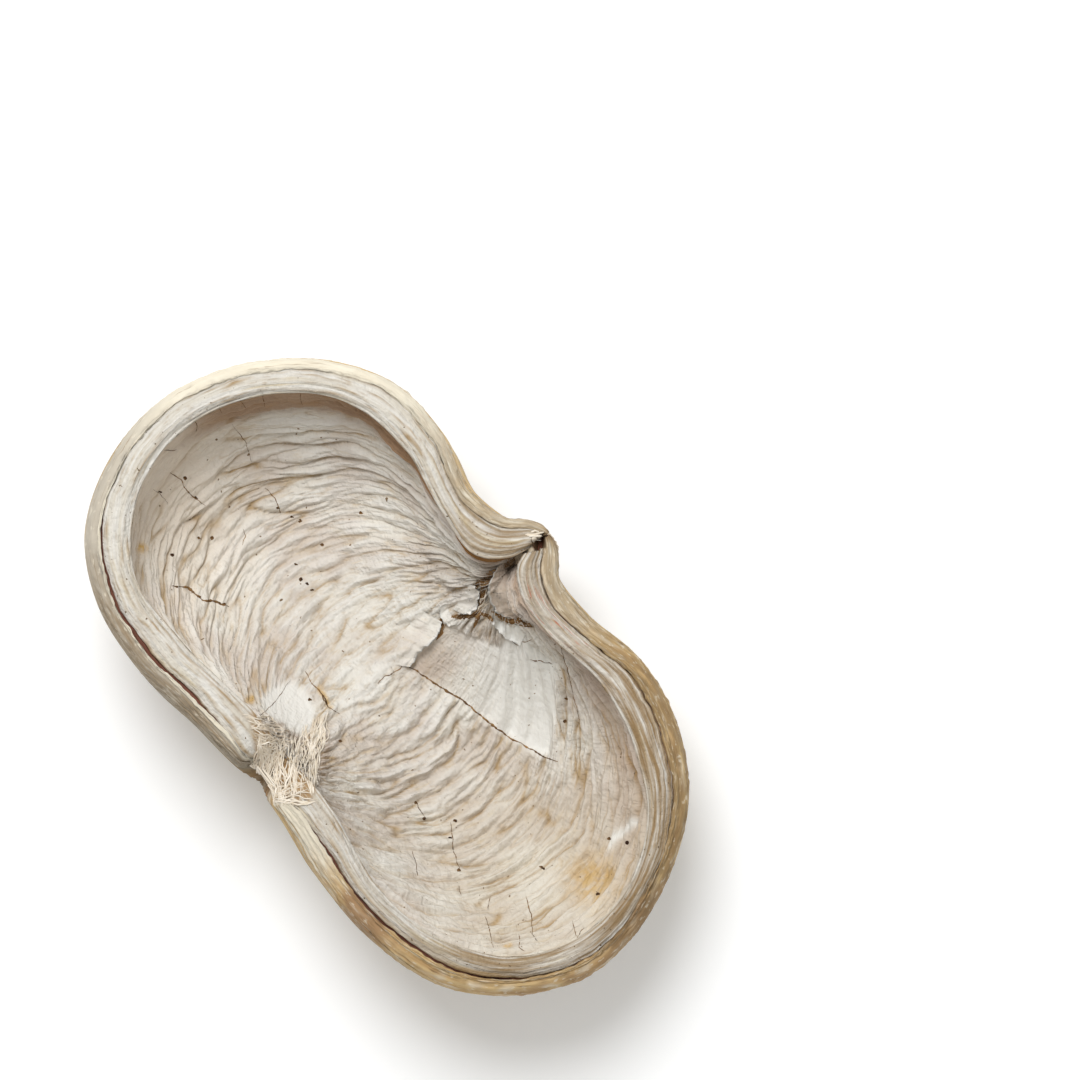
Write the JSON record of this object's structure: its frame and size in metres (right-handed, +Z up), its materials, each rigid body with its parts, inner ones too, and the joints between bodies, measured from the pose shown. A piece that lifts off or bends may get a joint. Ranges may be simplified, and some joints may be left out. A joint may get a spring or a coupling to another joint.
{
  "type": "dried split seed pod",
  "caption": "Dried, bleached wild almond pod, split open as a lobed woody bowl with a wrinkled papery lining, lying on its back, mouth up.",
  "frame": {"origin": "on the surface that the pod lies on, under the middle of its box", "axes": "+X from one lobe to the other, +Y from the torn tip to the stalk, +Z up out of the mouth"},
  "size_m": [0.0996, 0.0552, 0.0313],
  "materials": {
    "husk": "matt, fibrous, bleached cream"
  },
  "bodies": {
    "root": {"pod": "husk"}
  },
  "joints": []
}
